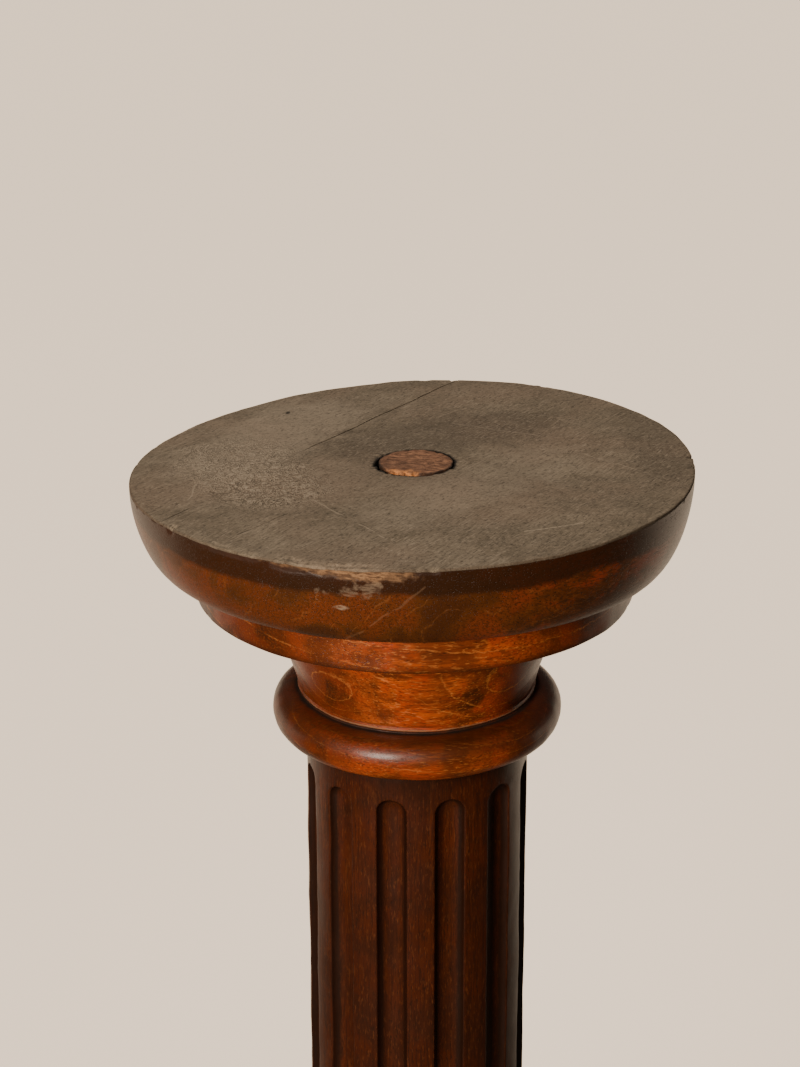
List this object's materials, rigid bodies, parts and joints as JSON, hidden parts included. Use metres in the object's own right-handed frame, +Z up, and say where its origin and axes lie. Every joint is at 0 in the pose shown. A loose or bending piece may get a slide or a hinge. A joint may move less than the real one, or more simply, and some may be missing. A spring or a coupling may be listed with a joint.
{
  "type": "turned wooden pedestal column",
  "caption": "Free-standing turned wooden pedestal column with a round moulded top, a flared neck, a fluted shaft and a round moulded foot.",
  "frame": {"origin": "centre of the round foot's underside, on the floor", "axes": "+Z up along the column's axis, -Y towards the picture's viewer, +X to the viewer's right"},
  "size_m": [0.306, 0.306, 1.0025],
  "materials": {
    "top_wood": "worn grey-brown bare board on top, glossy brown-red stain on the edge",
    "capital_wood": "glossy orange-brown stained varnish",
    "shaft_wood": "semi-gloss dark brown stained varnish with upright grain",
    "base_wood": "glossy brown stained varnish",
    "foot_wood": "glossy brown stained varnish"
  },
  "bodies": {
    "root": {"top_disc": "top_wood", "capital_block": "capital_wood", "fluted_shaft": "shaft_wood", "base_block": "base_wood", "foot_disc": "foot_wood"}
  },
  "joints": []
}
